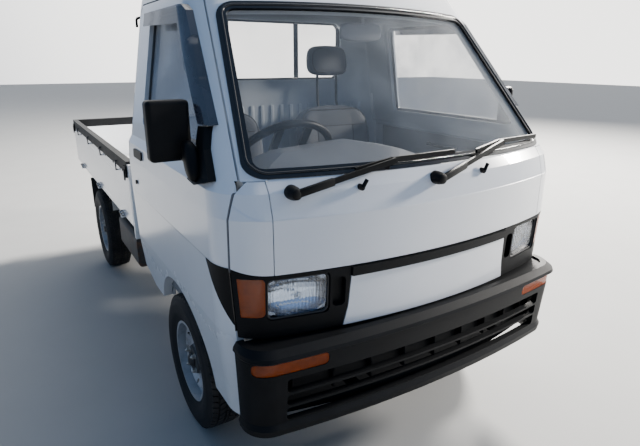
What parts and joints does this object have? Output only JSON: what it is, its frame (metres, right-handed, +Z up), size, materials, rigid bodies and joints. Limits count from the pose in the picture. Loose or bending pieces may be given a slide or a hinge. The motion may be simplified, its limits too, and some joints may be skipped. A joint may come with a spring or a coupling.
{
  "type": "kei truck",
  "caption": "Small forward-control pickup truck with hinged doors, steered front wheels and a flat bed whose side gates and tailgate fold down.",
  "frame": {"origin": "on the road at the middle of the truck, half way between its bumper and its tailgate", "axes": "+Z up; the front faces -Y; +X is the truck's left side"},
  "size_m": [1.6028, 3.295, 1.765],
  "materials": {
    "white_paint": "gloss",
    "black_plastic": "matte, moulded",
    "chassis_black": "satin",
    "rubber": "matte",
    "tyre": "matte",
    "rim_silver": "satin",
    "glass": "clear",
    "smoke_acrylic": "clear",
    "lamp_glass": "ribbed",
    "amber_lens": "gloss, ribbed",
    "red_lens": "gloss, ribbed",
    "cast_metal": "matte",
    "interior_grey": "grained",
    "seat_vinyl": "grained vinyl",
    "deck_paint": "satin"
  },
  "bodies": {
    "chassis": {"cab_shell": "white_paint", "nose_panels": "white_paint", "grille_panel": "white_paint", "lamp_bezels": "black_plastic", "headlamps": "lamp_glass", "bumper": "black_plastic", "amber_lamps": "amber_lens", "windscreen": "glass", "windscreen_seal": "rubber", "rear_window": "glass", "cab_floor": "interior_grey", "dashboard": "interior_grey", "seats": "seat_vinyl", "room_mirror": "interior_grey", "wipers": "black_plastic", "frame": "chassis_black", "front_suspension": "chassis_black", "rear_axle": "chassis_black", "engine": "cast_metal", "fuel_tank": "chassis_black", "bed": "deck_paint", "bed_bearers": "deck_paint", "rear_lamps": "red_lens", "mud_flaps": "rubber"},
    "steering_wheel": {"steering_wheel": "black_plastic"},
    "knuckle_l": {"knuckle_l": "cast_metal"},
    "knuckle_r": {"knuckle_r": "cast_metal"},
    "front_wheel_l": {"front_tyre_l": "tyre", "front_rim_l": "rim_silver"},
    "front_wheel_r": {"front_tyre_r": "tyre", "front_rim_r": "rim_silver"},
    "rear_wheel_l": {"rear_tyre_l": "tyre", "rear_rim_l": "rim_silver"},
    "rear_wheel_r": {"rear_tyre_r": "tyre", "rear_rim_r": "rim_silver"},
    "door_l": {"door_l": "white_paint", "door_glass_l": "glass", "door_visor_l": "smoke_acrylic", "door_fittings_l": "black_plastic"},
    "gate_l": {"gate_l": "white_paint", "gate_guard_l": "black_plastic"},
    "door_r": {"door_r": "white_paint", "door_glass_r": "glass", "door_visor_r": "smoke_acrylic", "door_fittings_r": "black_plastic"},
    "gate_r": {"gate_r": "white_paint", "gate_guard_r": "black_plastic"},
    "tailgate": {"tailgate": "white_paint", "gate_guard_tail": "black_plastic"}
  },
  "joints": [
    {"name": "steer_left", "type": "hinge", "parent": "chassis", "child": "knuckle_l", "pos_m": [0.56, -0.945, 0.268], "axis": [0, 0, 1], "range_deg": [-35, 35]},
    {"name": "steer_right", "type": "hinge", "parent": "chassis", "child": "knuckle_r", "pos_m": [-0.56, -0.945, 0.268], "axis": [0, 0, 1], "range_deg": [-35, 35]},
    {"name": "steering_wheel_turn", "type": "hinge", "parent": "chassis", "child": "steering_wheel", "pos_m": [-0.345, -1.15, 1.062], "axis": [0, 0.788, 0.6157], "range_deg": [-560, 560]},
    {"name": "front_wheel_spin_l", "type": "hinge", "parent": "knuckle_l", "child": "front_wheel_l", "pos_m": [0.6025, -0.945, 0.268], "axis": [1, 0, 0], "continuous": true},
    {"name": "rear_wheel_spin_l", "type": "hinge", "parent": "chassis", "child": "rear_wheel_l", "pos_m": [0.6025, 0.955, 0.268], "axis": [1, 0, 0], "continuous": true},
    {"name": "door_open_l", "type": "hinge", "parent": "chassis", "child": "door_l", "pos_m": [0.668, -1.44, 0.835], "axis": [0, 0, -1], "range_deg": [0, 65]},
    {"name": "gate_drop_l", "type": "hinge", "parent": "chassis", "child": "gate_l", "pos_m": [0.699, 0.64, 0.652], "axis": [0, 1, 0], "range_deg": [0, 180]},
    {"name": "front_wheel_spin_r", "type": "hinge", "parent": "knuckle_r", "child": "front_wheel_r", "pos_m": [-0.6025, -0.945, 0.268], "axis": [1, 0, 0], "continuous": true},
    {"name": "rear_wheel_spin_r", "type": "hinge", "parent": "chassis", "child": "rear_wheel_r", "pos_m": [-0.6025, 0.955, 0.268], "axis": [1, 0, 0], "continuous": true},
    {"name": "door_open_r", "type": "hinge", "parent": "chassis", "child": "door_r", "pos_m": [-0.668, -1.44, 0.835], "axis": [0, 0, 1], "range_deg": [0, 65]},
    {"name": "gate_drop_r", "type": "hinge", "parent": "chassis", "child": "gate_r", "pos_m": [-0.699, 0.64, 0.652], "axis": [0, -1, 0], "range_deg": [0, 180]},
    {"name": "tailgate_drop", "type": "hinge", "parent": "chassis", "child": "tailgate", "pos_m": [0, 1.64, 0.652], "axis": [-1, 0, 0], "range_deg": [0, 180]}
  ],
  "couplings": [
    {"joint": "steer_right", "follows": "steer_left", "ratio": 1},
    {"joint": "steering_wheel_turn", "follows": "steer_left", "ratio": 16}
  ]
}
